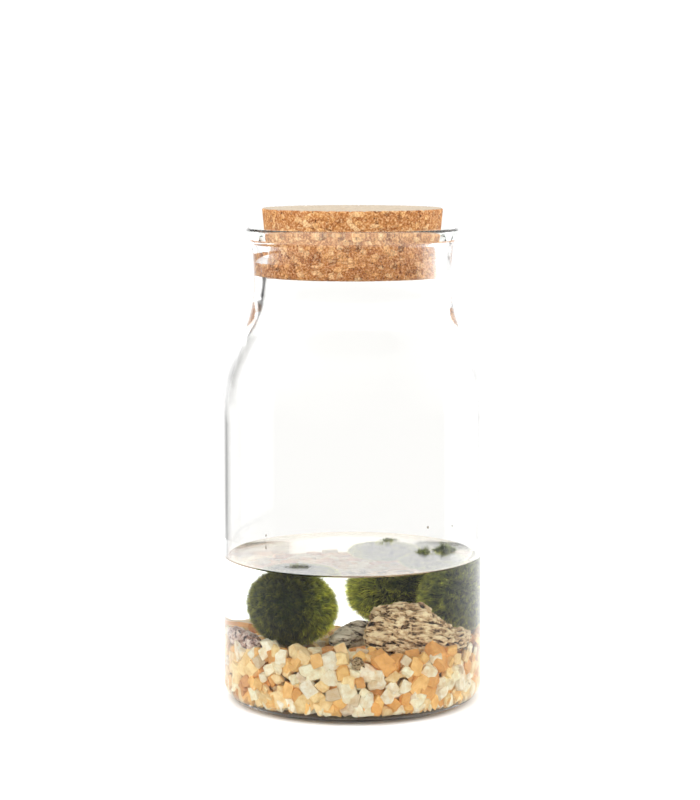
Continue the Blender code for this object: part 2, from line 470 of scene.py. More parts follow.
@dataclass(frozen=True)
class PressedCork:
    """Granules of cork pressed together, pale to dark, with small pits."""

    granule: float = 2.6 * MM
    flattened: float = 1.25
    warp_size: float = 1.6 * MM
    warp_reach: float = 0.9 * MM
    pale: Colour = (0.70, 0.37, 0.125)
    middle: Colour = (0.44, 0.18, 0.052)
    warm: Colour = (0.30, 0.090, 0.022)
    dark: Colour = (0.050, 0.014, 0.005)
    dusty: Colour = (0.78, 0.55, 0.30)
    fine_size: float = 0.9 * MM
    fine_share: float = 0.55
    seam_width: float = 0.09
    seam_share: float = 0.45
    pit_size: float = 1.3 * MM
    pit_share: float = 0.8
    sanded: Colour = (0.345, 0.33, 0.27)
    sanded_share: float = 0.78
    rim_height: float = 0.2172
    rim_fade: float = 1.0 * MM
    # Painted light: the cork in the neck is lightened by lit_by_glass, and the band under the rim gets a pale
    # painted glare.
    lit_by_glass: Colour = (1.28, 1.24, 1.24)
    painted_haze: Colour = (0.80, 0.78, 0.74)
    painted_haze_share: float = 0.14
    painted_haze_start: float = 7.0 * MM
    painted_haze_full: float = 4.5 * MM
    roughness: float = 0.85
    relief_depth: float = 0.25 * MM

    def warped(self, sheet: Sheet) -> Socket:
        """Coordinates bent out of shape, so that the granules aren't even.

        Args:
            sheet: The material.

        Returns:
            The vector socket.
        """
        warp = sheet.node("ShaderNodeTexNoise")
        warp.inputs["Scale"].default_value = 1.0 / self.warp_size
        sheet.join(sheet.place(), warp.inputs["Vector"])
        where = sheet.node("ShaderNodeVectorMath", operation="MULTIPLY_ADD")
        sheet.join(warp.outputs["Color"], where.inputs[0])
        where.inputs[1].default_value = (self.warp_reach, self.warp_reach, self.warp_reach)
        sheet.join(sheet.place((1.0, 1.0, self.flattened)), where.inputs[2])
        return where.outputs["Vector"]

    def below_rim(self, sheet: Sheet, colour: Socket) -> Socket:
        """Paints light on the part in the neck, and a pale painted glare over the band under the rim.

        Args:
            sheet: The material.
            colour: Colour of the bare cork.

        Returns:
            The colour socket.
        """
        level = sheet.node("ShaderNodeSeparateXYZ")
        sheet.join(sheet.place(), level.inputs["Vector"])
        height = level.outputs["Z"]
        neck_light_share = sheet.spread(height, self.rim_height + self.rim_fade, self.rim_height)
        lighter = sheet.mix(1.0, colour, self.lit_by_glass, "MULTIPLY")
        colour = sheet.mix(neck_light_share, colour, lighter)
        near_rim = sheet.spread(height, self.rim_height - self.painted_haze_start, self.rim_height - self.painted_haze_full)
        return sheet.mix(sheet.times(sheet.times(neck_light_share, near_rim), self.painted_haze_share), colour, self.painted_haze)

    def make(self) -> bpy.types.Material:
        """Makes the material."""
        sheet = Sheet("pressed_cork")
        where = self.warped(sheet)
        lone = sheet.node("ShaderNodeSeparateColor")
        sheet.join(sheet.cells(self.granule, where).outputs["Color"], lone.inputs["Color"])
        stops = (
            (0.0, self.dark), (0.10, self.warm), (0.35, self.middle), (0.62, self.middle),
            (0.80, self.pale), (1.0, self.dusty),
        )
        colour = sheet.ramp(lone.outputs["Red"], stops)
        fine = sheet.clouds(self.fine_size, 5.0, 0.65)
        fine_stops = ((0.36, self.dark), (0.5, self.middle), (0.62, self.dusty))
        colour = sheet.mix(self.fine_share, colour, sheet.ramp(fine, fine_stops))
        edge = sheet.cells(self.granule, where, "DISTANCE_TO_EDGE")
        seam = sheet.spread(edge.outputs["Distance"], 0.0, self.seam_width)
        colour = sheet.mix(sheet.times(sheet.minus(1.0, seam), self.seam_share), colour, self.warm)
        pits = sheet.spread(sheet.clouds(self.pit_size, 2.0, 0.5), 0.64, 0.72)
        colour = sheet.mix(sheet.times(pits, self.pit_share), colour, self.dark)
        colour = self.below_rim(sheet, colour)
        upward = sheet.node("ShaderNodeSeparateXYZ")
        sheet.join(sheet.node("ShaderNodeNewGeometry").outputs["Normal"], upward.inputs["Vector"])
        top = sheet.spread(upward.outputs["Z"], 0.6, 0.95)
        colour = sheet.mix(sheet.times(top, self.sanded_share), colour, self.sanded)
        sheet.dress(Base_Color=colour, Roughness=self.roughness, Specular_IOR_Level=0.25)
        height = sheet.plus(sheet.times(seam, 0.5), sheet.times(fine, 0.6))
        sheet.relief(sheet.minus(height, pits), self.relief_depth, 0.7)
        return sheet.material


@dataclass(frozen=True)
class SplitMarble:
    """Marble chips, each in its own colour, with clouds, veins and a wet surface."""

    cloud_size: float = 3.0 * MM
    lightened: Colour = (1.12, 1.12, 1.12)
    deepened: Colour = (0.94, 0.80, 0.60)
    grain_size: float = 0.5 * MM
    grain_dark: Colour = (0.62, 0.46, 0.28)
    grain_pale: Colour = (1.0, 0.97, 0.88)
    grain_share: float = 0.10
    spot_size: float = 0.75 * MM
    speckle: Colour = (0.06, 0.03, 0.012)
    roughness: float = 0.6
    relief_size: float = 1.1 * MM
    relief_depth: float = 0.2 * MM

    def make(self) -> bpy.types.Material:
        """Makes the material."""
        sheet = Sheet("split_marble")
        own = sheet.tint("Tint")
        pale = sheet.mix(1.0, own.outputs["Color"], self.lightened, "MULTIPLY")
        deep = sheet.mix(1.0, own.outputs["Color"], self.deepened, "MULTIPLY")
        colour = sheet.mix(sheet.spread(sheet.clouds(self.cloud_size, 5.0, 0.6), 0.36, 0.62), deep, pale)
        grain_stops = ((0.3, self.grain_dark), (0.7, self.grain_pale))
        grain = sheet.ramp(sheet.clouds(self.grain_size, 2.0, 0.6), grain_stops)
        colour = sheet.mix(self.grain_share, colour, grain)
        spots = sheet.spread(sheet.cells(self.spot_size).outputs["Distance"], 0.55, 0.30)
        colour = sheet.mix(sheet.times(spots, own.outputs["Alpha"]), colour, self.speckle)
        sheet.dress(Base_Color=colour, Roughness=self.roughness, Specular_IOR_Level=0.12)
        sheet.relief(sheet.clouds(self.relief_size, 6.0, 0.7), self.relief_depth, 0.5)
        return sheet.material


class StoneKind(Enum):
    """The three kinds of stone, each with a name."""

    TAN = "rock_tan"
    GREY = "rock_grey"
    PURPLE = "rock_purple"


@dataclass(frozen=True)
class CraggyStone:
    """Rough stone, darker in its crevices and paler on its ridges: its own tones with painted shade in the
    crevices and painted highlight on the ridges.
    """

    kind: StoneKind
    crevice_and_shade: Colour
    hollow: Colour
    face: Colour
    ridge_and_highlight: Colour
    stain: Colour
    fine_size: float = 0.8 * MM
    fine_share: float = 0.7
    stain_size: float = 2.6 * MM
    stain_share: float = 0.55
    roughness: float = 0.75
    relief_depth: float = 0.35 * MM

    def make(self) -> bpy.types.Material:
        """Makes the material."""
        sheet = Sheet("stone_" + self.kind.name.lower())
        relief = sheet.tint("Relief")
        fine = sheet.clouds(self.fine_size, 6.0, 0.7)
        level = sheet.plus(relief.outputs["Fac"], sheet.times(sheet.minus(fine, 0.5), self.fine_share))
        # Darkest in the crevices and palest on the ridges: painted shade and painted highlight over the
        # stone's own tones.
        stops = ((0.20, self.crevice_and_shade), (0.36, self.hollow), (0.48, self.face), (0.78, self.ridge_and_highlight))
        colour = sheet.ramp(level, stops)
        stained = sheet.spread(sheet.clouds(self.stain_size, 3.0, 0.6), 0.48, 0.60)
        colour = sheet.mix(sheet.times(stained, self.stain_share), colour, self.stain)
        sheet.dress(Base_Color=colour, Roughness=self.roughness, Specular_IOR_Level=0.3)
        sheet.relief(fine, self.relief_depth, 0.8)
        return sheet.material


@dataclass(frozen=True)
class MossFelt:
    """The matted green under the filaments."""

    deep: Colour = (0.006, 0.012, 0.003)
    green: Colour = (0.025, 0.045, 0.008)
    cloud_size: float = 1.6 * MM
    mat_size: float = 0.6 * MM
    relief_depth: float = 0.4 * MM

    def make(self) -> bpy.types.Material:
        """Makes the material."""
        sheet = Sheet("moss_felt")
        clouds = sheet.clouds(self.cloud_size, 5.0, 0.65)
        colour = sheet.ramp(clouds, ((0.35, self.deep), (0.65, self.green)))
        sheet.dress(Base_Color=colour, Roughness=0.95, Specular_IOR_Level=0.1)
        sheet.relief(sheet.clouds(self.mat_size, 4.0, 0.7), self.relief_depth, 0.8)
        return sheet.material


@dataclass(frozen=True)
class MossFilament:
    """Thin green threads that let light through, with a painted glow."""

    through: float = 0.5
    glow: float = 6.0
    clump_size: float = 3.2 * MM
    clump_dark: Colour = (0.34, 0.38, 0.40)
    clump_light: Colour = (1.5, 1.4, 1.0)

    def make(self) -> bpy.types.Material:
        """Makes the material."""
        sheet = Sheet("moss_filament")
        own = sheet.tint("Tint")
        clouds = sheet.clouds(self.clump_size, 4.0, 0.6)
        clumps = sheet.ramp(clouds, ((0.36, self.clump_dark), (0.64, self.clump_light)))
        colour = sheet.mix(1.0, own.outputs["Color"], clumps, "MULTIPLY")
        sheet.dress(Base_Color=colour, Roughness=0.7, Specular_IOR_Level=0.15)
        thin = sheet.node("ShaderNodeBsdfTranslucent")
        # Painted glow: the colour of the light let through is raised well above 1, so the threads give out
        # more light than reaches them.
        lit = sheet.mix(1.0, colour, (self.glow, self.glow, self.glow), "MULTIPLY")
        sheet.join(lit, thin.inputs["Color"])
        both = sheet.node("ShaderNodeMixShader")
        both.inputs["Fac"].default_value = self.through
        sheet.join(sheet.shader.outputs["BSDF"], both.inputs[1])
        sheet.join(thin.outputs["BSDF"], both.inputs[2])
        sheet.join(both.outputs["Shader"], sheet.output.inputs["Surface"])
        return sheet.material


@dataclass(frozen=True)
class JarForm:
    """The profile of the glass, with the radii and heights of its solid."""

    height: float = 0.218
    body_radius: float = 0.0600
    body_top: float = 0.134
    heel_radius: float = 0.009
    foot_inner_radius: float = 0.044
    punt_rise: float = 0.002
    neck_radius: float = 0.0451
    neck_start: float = 0.194
    shoulder_lower_handle: float = 0.1650
    shoulder_upper_handle: float = 0.1645
    flare_lower_handle: float = 0.2070
    flare_upper_handle: Point = (0.0462, 0.2120)
    rim_radius: float = 0.0484
    lip_radius: float = 0.0011
    lip_start: float = -35.0
    lip_end: float = 140.0
    inner_radius: float = 0.0578
    inner_heel_radius: float = 0.0075
    floor_edge: float = 0.0032
    floor_rise: float = 0.0010
    hollow_upper_handle: Point = (0.0452, 0.2165)
    hollow_lower_handle: Point = (0.0436, 0.2135)
    taper_top: Point = (0.0419, 0.2108)
    bore_radius: float = 0.0396
    bore_top: float = 0.2038
    bore_bottom: float = 0.1960
    inner_neck_end: Point = (0.0406, 0.1890)
    inner_neck_handle: Point = (0.0418, 0.1720)
    inner_body_handle: float = 0.1610
    inner_body_top: float = 0.130
    water_edge: float = 0.0677
    lip_bottom: float = 0.2161
    flare_bottom: float = 0.2125
    foot_top: float = 0.0022
    arc_steps: int = 12
    dome_steps: int = 8
    shoulder_steps: int = 40
    flare_steps: int = 16
    hollow_steps: int = 14
    inner_steps: int = 36

    def outside(self) -> list[Point]:
        """Profile from the middle of the underside up over the lip."""
        heel_centre = (self.body_radius - self.heel_radius, self.heel_radius)
        shoulder = bend(
            (self.body_radius, self.body_top), (self.body_radius, self.shoulder_lower_handle),
            (self.neck_radius, self.shoulder_upper_handle), (self.neck_radius, self.neck_start),
            self.shoulder_steps,
        )
        lip_centre = (self.rim_radius - self.lip_radius, self.height - self.lip_radius)
        lip = arc(lip_centre, self.lip_radius, self.lip_start, self.lip_end, self.arc_steps)
        flare = bend(
            shoulder[-1], (self.neck_radius, self.flare_lower_handle), self.flare_upper_handle, lip[0],
            self.flare_steps,
        )
        punt = dome(self.foot_inner_radius, 0.0, self.punt_rise, self.dome_steps)[::-1]
        heel = arc(heel_centre, self.heel_radius, -90, 0, self.arc_steps)
        return punt + [(self.foot_inner_radius, 0.0)] + heel + shoulder + flare[1:] + lip[1:]

    def foot_inside(self, reach: float = 0.0) -> list[Point]:
        """Inner profile round the heel and in to the middle of the floor.

        Args:
            reach: How far it lies outside the inner surface, in the glass.

        Returns:
            The points from the heel's top to the axis.
        """
        centre = (self.inner_radius - self.inner_heel_radius, self.floor_edge + self.inner_heel_radius)
        heel = arc(centre, self.inner_heel_radius + reach, 0, -90, self.arc_steps)
        return heel + dome(centre[0], self.floor_edge - reach, self.floor_rise, self.dome_steps)

    def whole(self) -> list[Point]:
        """The whole wall: up the outside, over the lip and down the inside."""
        outside = self.outside()
        hollow = bend(
            outside[-1], self.hollow_upper_handle, self.hollow_lower_handle, self.taper_top, self.hollow_steps
        )
        bore = [(self.bore_radius, self.bore_top), (self.bore_radius, self.bore_bottom)]
        shoulder = bend(
            self.inner_neck_end, self.inner_neck_handle, (self.inner_radius, self.inner_body_handle),
            (self.inner_radius, self.inner_body_top), self.inner_steps,
        )
        water_edge = [(self.inner_radius, self.water_edge)]
        return outside + hollow[1:] + bore + shoulder + water_edge + self.foot_inside()

    def room(self, height: float) -> float:
        """Inner radius at a height below the shoulder.

        Args:
            height: The height.

        Returns:
            The radius, which shrinks round the heel.
        """
        start = self.floor_edge + self.inner_heel_radius
        if height >= start:
            return self.inner_radius
        drop = min(start - height, self.inner_heel_radius)
        return self.inner_radius - self.inner_heel_radius + math.sqrt(self.inner_heel_radius**2 - drop**2)


class GlassPart(Enum):
    """The parts of the jar's surface, each with the number of its finish."""

    DRY = 0
    WET = 1
    LIP = 2
    FLARE = 3
    FOOT = 4


@dataclass
class GlassJar:
    """The clear bottle, whose dry wall, wet wall, lip, flare and underside have a finish each; the
    underside's brown tint is painted shade.
    """

    form: JarForm = field(default_factory=JarForm)
    dry: ClearThing = GLASS_TO_AIR
    wet: ClearThing = GLASS_TO_WATER
    lip: ClearThing = LIP_TO_AIR
    flare: ClearThing = FLARE_TO_AIR
    foot: ClearThing = SHADED_FOOT_TO_AIR
    slack: float = 0.1 * MM
    wet_from: float = 0.8
    facing_down: float = -0.9
    sharp_angle: float = 40.0
    segments: int = 256

    def part(self, face: bmesh.types.BMFace) -> GlassPart:
        """Tells which part of the surface a face belongs to.

        Args:
            face: A face of the turned glass.

        Returns:
            The part.
        """
        middle = face.calc_center_median()
        inside = math.hypot(middle.x, middle.y) < self.form.inner_radius + self.slack
        if inside and self.wet_from * self.form.floor_edge < middle.z < self.form.water_edge:
            return GlassPart.WET
        if middle.z > self.form.lip_bottom:
            return GlassPart.LIP
        if middle.z > self.form.flare_bottom:
            return GlassPart.FLARE
        if middle.z < self.form.foot_top and face.normal.z < self.facing_down:
            return GlassPart.FOOT
        return GlassPart.DRY

    def build(self) -> bpy.types.Object:
        """Turns the glass."""
        bm = turned(self.form.whole(), self.segments)
        for face in bm.faces:
            face.material_index = self.part(face).value
        jar = add_piece("jar_glass", bm, self.dry.make())
        for finish in (self.wet, self.lip, self.flare, self.foot):
            jar.data.materials.append(finish.make())
        jar.data.set_sharp_from_angle(angle=math.radians(self.sharp_angle))
        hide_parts("glass_jar")
        return jar


@dataclass
class CorkStopper:
    """The tapered stopper, with granules and pits in its surface."""

    bottom: float = 0.196
    top: float = 0.227
    bottom_radius: float = 0.0385
    top_radius: float = 0.04125
    edge: float = 0.0006
    squeezed_radius: float = 0.0391
    pressed_out: float = 0.9 * MM
    squeezed_top: float = 0.2020
    squeeze_fade: float = 7.0 * MM
    pressed_side: Point = (-0.55, 0.35)
    pressed_fade: float = 1.5 * MM
    pressed_from: float = 0.5
    step: float = 0.55 * MM
    segments: int = 420
    pit_depth: float = 0.45 * MM
    pit_size: float = 1.7 * MM
    pit_levels: Point = (0.28, 0.55)
    granule: float = 2.6 * MM
    seam_depth: float = 0.10 * MM
    seam_width: float = 0.25
    finish: PressedCork = PressedCork()

    def profile(self) -> list[Point]:
        """Profile with points close enough together for the pits."""
        rings = []
        count = int(self.bottom_radius / self.step)
        rings += [(self.bottom_radius * i / count, self.bottom) for i in range(count)]
        rise = self.top - self.bottom - 2 * self.edge
        rings[-1] = (self.bottom_radius - self.edge, self.bottom)
        count = int(rise / self.step)
        for i in range(count + 1):
            share = i / count
            height = self.bottom + self.edge + rise * share
            radius = self.bottom_radius + (self.top_radius - self.bottom_radius) * share
            pressed = 1.0 - smooth_step(height, self.squeezed_top, self.squeezed_top + self.squeeze_fade)
            rings.append((radius + (self.squeezed_radius - radius) * pressed, height))
        count = int(self.top_radius / self.step)
        top = [((self.top_radius - self.edge) * (1 - i / count), self.top) for i in range(count + 1)]
        return rings + top

    def wear(self, bm: bmesh.types.BMesh) -> None:
        """Presses the foot against the glass on one side, and sinks pits and seams between granules.

        Args:
            bm: The turned form.
        """
        for vert in bm.verts:
            reach = math.hypot(vert.co.x, vert.co.y)
            side = smooth_step(-vert.co.x / self.bottom_radius, *self.pressed_side)
            foot = 1.0 - smooth_step(vert.co.z, self.squeezed_top, self.squeezed_top + self.pressed_fade)
            outer = smooth_step(reach, self.pressed_from * self.bottom_radius, self.bottom_radius)
            share = 1.0 + self.pressed_out * side * foot * outer / max(reach, MM)
            vert.co.x *= share
            vert.co.y *= share
        bm.normal_update()
        moves = []
        for vert in bm.verts:
            pit = noise.noise(vert.co / self.pit_size)
            depth = self.pit_depth * smooth_step(pit, *self.pit_levels)
            near = noise.voronoi(vert.co / self.granule)[0]
            depth += self.seam_depth * (1.0 - smooth_step(near[1] - near[0], 0.0, self.seam_width))
            moves.append(vert.co - depth * vert.normal)
        for vert, place in zip(bm.verts, moves):
            vert.co = place

    def build(self) -> bpy.types.Object:
        """Builds and dresses the stopper."""
        bm = turned(self.profile(), self.segments)
        self.wear(bm)
        cork = add_piece("cork", bm, self.finish.make())
        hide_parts("cork_stopper")
        return cork


class WaterPart(Enum):
    """The parts of the water's surface, each with the number of its finish."""

    SURFACE = 0
    SIDE = 1
    RIM = 2


@dataclass
class JarWater:
    """The still water, with a rim that climbs the glass and sides that lie against it; its surface's tint is
    painted shade.
    """

    form: JarForm = field(default_factory=JarForm)
    level: float = 0.066
    climb: float = 1.7 * MM
    climb_width: float = 2.4 * MM
    gap: float = 0.02 * MM
    segments: int = 256
    rim_steps: int = 24
    rim_reach: float = 5.0
    rim_from: float = 0.25 * MM
    sharp_angle: float = 50.0
    surface: ClearThing = SHADED_WATER_TO_AIR
    side: ClearThing = WATER_TO_GLASS
    rim: ClearThing = RIM_PAINTED_REFLECTION
    drops: tuple[Triple, ...] = (
        (50.0, 0.0722, 0.6), (32.8, 0.0751, 0.45), (137.0, 0.0691, 0.5),
    )
    drop_form: Triple = (0.45, 1.0, 1.15)
    drop_cling: float = 0.46

    def profile(self) -> list[Point]:
        """Profile from the middle of the surface over its rim to the middle of the floor."""
        wall = self.form.inner_radius - self.gap
        surface = [(0.0, self.level), (0.5 * wall, self.level)]
        for step in range(self.rim_steps + 1):
            share = 1.0 - (1.0 - step / self.rim_steps) ** 2
            away = self.rim_reach * self.climb_width * (1.0 - share)
            surface.append((wall - away, self.level + self.climb * math.exp(-away / self.climb_width)))
        return surface + self.form.foot_inside(-self.gap)

    def add_drops(self, bm: bmesh.types.BMesh) -> None:
        """Adds the drops that cling to the glass behind, above the water.

        Args:
            bm: The water, to which the drops are added.
        """
        for angle, height, size in self.drops:
            made = bmesh.ops.create_icosphere(bm, subdivisions=3, radius=size * MM)["verts"]
            turn = math.radians(angle)
            bmesh.ops.scale(bm, vec=self.drop_form, verts=made)
            bmesh.ops.rotate(bm, matrix=Matrix.Rotation(turn, 3, "Z"), verts=made)
            away = self.form.inner_radius - self.drop_cling * size * MM
            place = Vector((math.cos(turn), math.sin(turn), 0.0)) * away
            bmesh.ops.translate(bm, vec=place + Vector((0.0, 0.0, height)), verts=made)

    def build(self) -> bpy.types.Object:
        """Builds and dresses the water."""
        bm = turned(self.profile(), self.segments)
        # Faces below the level lie against the glass; those at the front of the rim take the painted
        # reflection.
        for face in bm.faces:
            middle = face.calc_center_median()
            if middle.z < self.level - self.gap:
                face.material_index = WaterPart.SIDE.value
            elif middle.z > self.level + self.rim_from and middle.y < 0.0:
                face.material_index = WaterPart.RIM.value
        self.add_drops(bm)
        water = add_piece("still_water", bm, self.surface.make())
        water.data.materials.append(self.side.make())
        water.data.materials.append(self.rim.make())
        water.data.set_sharp_from_angle(angle=math.radians(self.sharp_angle))
        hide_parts("water")
        return water


@dataclass
class GravelBed:
    """Loose marble chips heaped in the foot of the jar, as deep as they are seen."""

    form: JarForm = field(default_factory=JarForm)
    finish: SplitMarble = SplitMarble()
    spacing: float = 5.6 * MM
    sizes: Triple = (0.52, 1.48, 0.86)
    sides: tuple[Point, Point, Point] = ((1.25, 1.85), (1.00, 1.42), (0.76, 1.08))
    cuts: tuple[int, int] = (5, 8)
    cut_reach: Point = (0.58, 0.80)
    shortest_edge: float = 0.6 * MM
    flat_angle: float = 8.0
    bevel_mm: Point = (0.14, 0.34)
    near: float = 0.8
    wall_lean: float = 0.35
    floor_lean: float = 0.45
    patience: int = 3000
    margin: float = 1.5 * MM
    ceiling: float = 0.046
    sink: float = 0.25
    seen_depth: float = 9.0 * MM
    heel_chips: int = 250
    heel_radii: Point = (0.047, 0.0540)
    heel_heights: Point = (0.0040, 0.0062)
    heel_sizes: Point = (0.42, 0.66)
    gap: float = 0.25 * MM
    seed: int = 11
    palette: tuple[tuple[float, Colour], ...] = (
        (0.36, (0.91, 0.86, 0.68)),
        (0.23, (0.90, 0.69, 0.36)),
        (0.21, (0.88, 0.54, 0.18)),
        (0.12, (0.80, 0.40, 0.10)),
        (0.04, (0.68, 0.31, 0.08)),
        (0.03, (0.74, 0.62, 0.46)),
        (0.01, (0.60, 0.38, 0.22)),
    )
    light: Point = (0.88, 1.08)
    warm: Point = (0.93, 1.07)
    brightest: Colour = (0.93, 0.90, 0.82)
    pebble: Triple = (0.0057, -0.0545, 0.0277)
    pebble_colour: Colour = (0.36, 0.25, 0.12)

    def scatter(self, rng: random.Random) -> tuple[list[Vector], list[float]]:
        """Strews the middles of the chips.

        Args:
            rng: Source of the random draws.

        Returns:
            The middles and the sizes that go with them.
        """
        places: list[Vector] = []
        sizes: list[float] = []
        cells: dict[tuple[int, int, int], list[int]] = {}
        pitch = 1.4 * self.spacing
        misses = 0
        while misses < self.patience:
            height = rng.uniform(self.form.floor_edge + self.margin, self.ceiling)
            radius = (self.form.room(height) - self.margin) * math.sqrt(rng.random())
            angle = rng.uniform(0.0, math.tau)
            size = rng.triangular(*self.sizes)
            place = Vector((radius * math.cos(angle), radius * math.sin(angle), height))
            key = tuple(int(side // pitch) for side in place)
            near = [
                index
                for dx in (-1, 0, 1) for dy in (-1, 0, 1) for dz in (-1, 0, 1)
                for index in cells.get((key[0] + dx, key[1] + dy, key[2] + dz), ())
            ]
            if any((places[i] - place).length < 0.5 * self.spacing * (sizes[i] + size) for i in near):
                misses += 1
                continue
            misses = 0
            cells.setdefault(key, []).append(len(places))
            places.append(place)
            sizes.append(size)
        for _ in range(self.heel_chips):
            angle = rng.uniform(0.0, math.tau)
            radius = rng.uniform(*self.heel_radii)
            height = rng.uniform(*self.heel_heights)
            places.append(Vector((radius * math.cos(angle), radius * math.sin(angle), height)))
            sizes.append(rng.uniform(*self.heel_sizes))
        return places, sizes

    def cut(self, bm: bmesh.types.BMesh, point: Vector, way: Vector) -> None:
        """Cuts off all beyond a plane and closes the cut.

        Args:
            bm: The chip.
            point: A point on the plane.
            way: The side that goes.
        """
        geom = bm.verts[:] + bm.edges[:] + bm.faces[:]
        bmesh.ops.bisect_plane(bm, geom=geom, plane_co=point, plane_no=way, clear_outer=True)
        bmesh.ops.holes_fill(bm, edges=bm.edges)

    def shard(self, size: float, rng: random.Random) -> bmesh.types.BMesh:
        """Splits a chip off a block of stone.

        Args:
            size: Size of the chip as a share of the usual one.
            rng: Source of the random draws.

        Returns:
            A flat-sided chip round the origin, thinnest along Z.
        """
        sides = [self.spacing * size * rng.uniform(*bounds) for bounds in self.sides]
        bm = bmesh.new()
        bmesh.ops.create_cube(bm, size=1.0, matrix=Matrix.Diagonal((*sides, 1.0)))
        for _ in range(rng.randint(*self.cuts)):
            way = Vector([rng.gauss(0.0, 1.0) for _ in range(3)]).normalized()
            reach = 0.5 * sum(abs(part) * side for part, side in zip(way, sides))
            self.cut(bm, way * reach * rng.uniform(*self.cut_reach), way)
        bmesh.ops.remove_doubles(bm, verts=bm.verts, dist=self.shortest_edge)
        bmesh.ops.dissolve_limit(
            bm, angle_limit=math.radians(self.flat_angle), verts=bm.verts, edges=bm.edges,
            use_dissolve_boundaries=False,
        )
        bmesh.ops.bevel(
            bm, geom=bm.edges[:], offset=rng.uniform(*self.bevel_mm) * MM, offset_type="OFFSET", segments=1,
            profile=0.5, affect="EDGES", clamp_overlap=True, material=-1,
        )
        bmesh.ops.recalc_face_normals(bm, faces=bm.faces)
        return bm

    def lay(self, bm: bmesh.types.BMesh, place: Vector, top: float, rng: random.Random) -> None:
        """Turns a chip and lays it in its place, against the glass where it is near.

        Args:
            bm: The chip.
            place: Where its middle goes.
            top: Height of the gravel there.
            rng: Source of the random draws.
        """
        outward = Vector((place.x, place.y, 0.0)).normalized()
        near_wall = self.form.room(place.z) - math.hypot(place.x, place.y) < self.near * self.spacing
        near_floor = place.z - self.form.floor_edge < self.near * self.spacing
        lean = Vector([rng.gauss(0.0, 1.0) for _ in range(3)])
        if near_wall:
            lean = outward + self.wall_lean * lean
        elif near_floor or top - place.z < self.spacing:
            lean = Vector((0.0, 0.0, 1.0)) + self.floor_lean * lean
        turn = Vector((0.0, 0.0, 1.0)).rotation_difference(lean.normalized()).to_matrix().to_4x4()
        spin = Matrix.Rotation(rng.uniform(0.0, math.tau), 4, "Z")
        bmesh.ops.transform(bm, matrix=Matrix.Translation(place) @ turn @ spin, verts=bm.verts)
        for _ in range(3):
            over = max(math.hypot(v.co.x, v.co.y) - self.form.room(v.co.z) + self.gap for v in bm.verts)
            if over > 0.0 or near_wall:
                bmesh.ops.translate(bm, vec=outward * -over, verts=bm.verts)
            under = self.form.floor_edge + self.form.floor_rise + self.gap - min(v.co.z for v in bm.verts)
            if under > 0.0 or near_floor:
                bmesh.ops.translate(bm, vec=(0.0, 0.0, under), verts=bm.verts)

    def colour(self, rng: random.Random) -> Colour:
        """Draws a chip's colour from the palette.

        Args:
            rng: Source of the random draws.

        Returns:
            The colour.
        """
        draw = rng.random()
        for share, colour in self.palette:
            if draw < share:
                break
            draw -= share
        light = rng.uniform(*self.light)
        warm = rng.uniform(*self.warm)
        lit = (colour[0] * light, colour[1] * light, colour[2] * light * warm)
        return tuple(min(pair) for pair in zip(lit, self.brightest))

    def seen(self, places: list[Vector]) -> list[tuple[int, float]]:
        """Picks the chips that lie in the bed and near enough to its outside to be seen.

        Args:
            places: The middles of all chips.

        Returns:
            The numbers of the chips, and the height of the gravel at each.
        """
        bed = merged_copy("gravel_bed")
        bounds = BVHTree.FromBMesh(bed)
        bed.free()
        kept = []
        for index, place in enumerate(places):
            top = bounds.ray_cast(Vector((place.x, place.y, self.ceiling)), Vector((0.0, 0.0, -1.0)))[0]
            if top is None or place.z > top.z - self.sink * self.spacing:
                continue
            depth = min(
                self.form.room(place.z) - math.hypot(place.x, place.y), top.z - place.z,
                place.z - self.form.floor_edge + 0.5 * self.seen_depth,
            )
            if depth < self.seen_depth:
                kept.append((index, top.z))
        return kept

    def build(self) -> bpy.types.Object:
        """Builds and dresses the chips."""
        rng = random.Random(self.seed)
        places, sizes = self.scatter(rng)
        kept = self.seen(places)
        spotted = min(kept, key=lambda pair: (places[pair[0]] - Vector(self.pebble)).length)[0]
        whole = bmesh.new()
        scratch = bpy.data.meshes.new("chip")
        for index, top in kept:
            chip = self.shard(sizes[index], rng)
            self.lay(chip, places[index], top, rng)
            layer = chip.verts.layers.float_color.new("Tint")
            colour = (*self.colour(rng), 0.0) if index != spotted else (*self.pebble_colour, 1.0)
            for vert in chip.verts:
                vert[layer] = colour
            chip.to_mesh(scratch)
            chip.free()
            whole.from_mesh(scratch)
        logging.info("gravel: %d chips of %d middles, %d faces", len(kept), len(places), len(whole.faces))
        bpy.data.meshes.remove(scratch)
        chips = add_piece("gravel_chips", whole, self.finish.make())
        shine = chips.modifiers.new("flat_faces", "WEIGHTED_NORMAL")
        shine.weight = 100
        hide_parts("gravel_bed")
        return chips


@dataclass
class Thread:
    """One filament: foot, middle and tip, its width as a vector, and its colours, darkened at the root as
    painted shade.
    """

    foot: Vector
    middle: Vector
    tip: Vector
    side: Vector
    shaded_root_colour: Vector
    tip_colour: Vector


